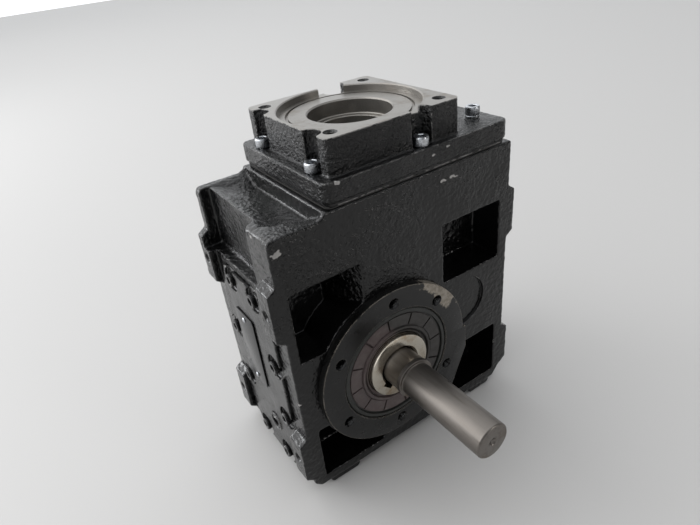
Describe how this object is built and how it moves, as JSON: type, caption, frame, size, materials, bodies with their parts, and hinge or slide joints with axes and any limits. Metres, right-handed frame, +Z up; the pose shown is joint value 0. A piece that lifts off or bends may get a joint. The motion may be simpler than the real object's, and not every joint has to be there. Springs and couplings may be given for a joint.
{
  "type": "worm gearbox",
  "caption": "Right-angle helical-worm gearbox: square top motor flange, hollow output shaft with a plug-in solid shaft, cast housing with side cover and mounting pads.",
  "frame": {"origin": "middle of the bounding box's footprint, on the plane the feet stand on", "axes": "+Z up towards the motor flange, -Y out along the output shaft, +X to the right seen from the output shaft's end"},
  "size_m": [0.204, 0.2118, 0.2584],
  "materials": {
    "black_paint": "semi-gloss black paint over a sand-cast surface",
    "machined_iron": "machined, bare",
    "bearing_steel": "bright turned steel",
    "ground_steel": "ground steel, light oil film",
    "zinc_plate": "bright zinc plate",
    "bronze": "machined bronze",
    "brass_cage": "pressed cage and balls",
    "seal_rubber": "moulded nitrile rubber, brown-black",
    "gasket_paper": "pressed fibre gasket sheet",
    "plate_grey": "blank plate, overpainted"
  },
  "bodies": {
    "case": {"housing": "black_paint", "side_cover": "black_paint", "side_cover_gasket": "gasket_paper", "cover_screw_1": "black_paint", "cover_screw_2": "black_paint", "cover_screw_3": "black_paint", "cover_screw_4": "black_paint", "cover_screw_5": "black_paint", "cover_screw_6": "black_paint", "cover_screw_7": "black_paint", "cover_screw_8": "black_paint", "nameplate": "plate_grey", "nameplate_rivet_1": "zinc_plate", "nameplate_rivet_2": "zinc_plate", "cover_oil_plug": "black_paint", "input_flange": "black_paint", "input_flange_gasket": "gasket_paper", "flange_screw_1": "zinc_plate", "flange_screw_2": "zinc_plate", "flange_screw_3": "zinc_plate", "flange_screw_4": "zinc_plate", "flange_screw_5": "zinc_plate", "flange_screw_6": "zinc_plate", "front_oil_seal": "seal_rubber", "rear_oil_seal": "seal_rubber", "front_output_bearing_outer_ring": "bearing_steel", "rear_output_bearing_outer_ring": "bearing_steel", "front_bearing_ring": "ground_steel", "rear_bearing_ring": "ground_steel", "worm_lower_bearing_outer_ring": "bearing_steel", "worm_upper_bearing_outer_ring": "bearing_steel", "worm_bearing_ring": "ground_steel", "input_bearing_outer_ring": "bearing_steel", "input_bearing_ring": "ground_steel", "input_oil_seal": "seal_rubber"},
    "output": {"hollow_shaft": "bearing_steel", "wheel_hub": "machined_iron", "worm_wheel_rim": "bronze", "wheel_key": "ground_steel", "front_output_bearing_inner_ring": "bearing_steel", "front_output_bearing_balls": "brass_cage", "rear_output_bearing_inner_ring": "bearing_steel", "rear_output_bearing_balls": "brass_cage", "stub_shaft": "ground_steel", "stub_key": "ground_steel", "stub_retaining_ring": "ground_steel"},
    "worm": {"worm_shaft": "ground_steel", "helical_gear": "ground_steel", "gear_key": "ground_steel", "gear_retaining_ring": "ground_steel", "worm_lower_bearing_inner_ring": "bearing_steel", "worm_lower_bearing_balls": "brass_cage", "worm_upper_bearing_inner_ring": "bearing_steel", "worm_upper_bearing_balls": "brass_cage"},
    "input": {"input_pinion": "ground_steel", "input_bearing_inner_ring": "bearing_steel", "input_bearing_balls": "brass_cage"}
  },
  "joints": [
    {"name": "output_spin", "type": "hinge", "parent": "case", "child": "output", "pos_m": [-0.018, -0.0109, 0.086], "axis": [0, 1, 0], "continuous": true},
    {"name": "worm_spin", "type": "hinge", "parent": "case", "child": "worm", "pos_m": [0.045, 0.0436, 0.086], "axis": [0, 0, 1], "continuous": true},
    {"name": "input_spin", "type": "hinge", "parent": "case", "child": "input", "pos_m": [0.0015, 0.0436, 0.236], "axis": [0, 0, 1], "continuous": true}
  ],
  "couplings": [
    {"joint": "worm_spin", "follows": "output_spin", "ratio": 18},
    {"joint": "input_spin", "follows": "output_spin", "ratio": -47.25}
  ]
}
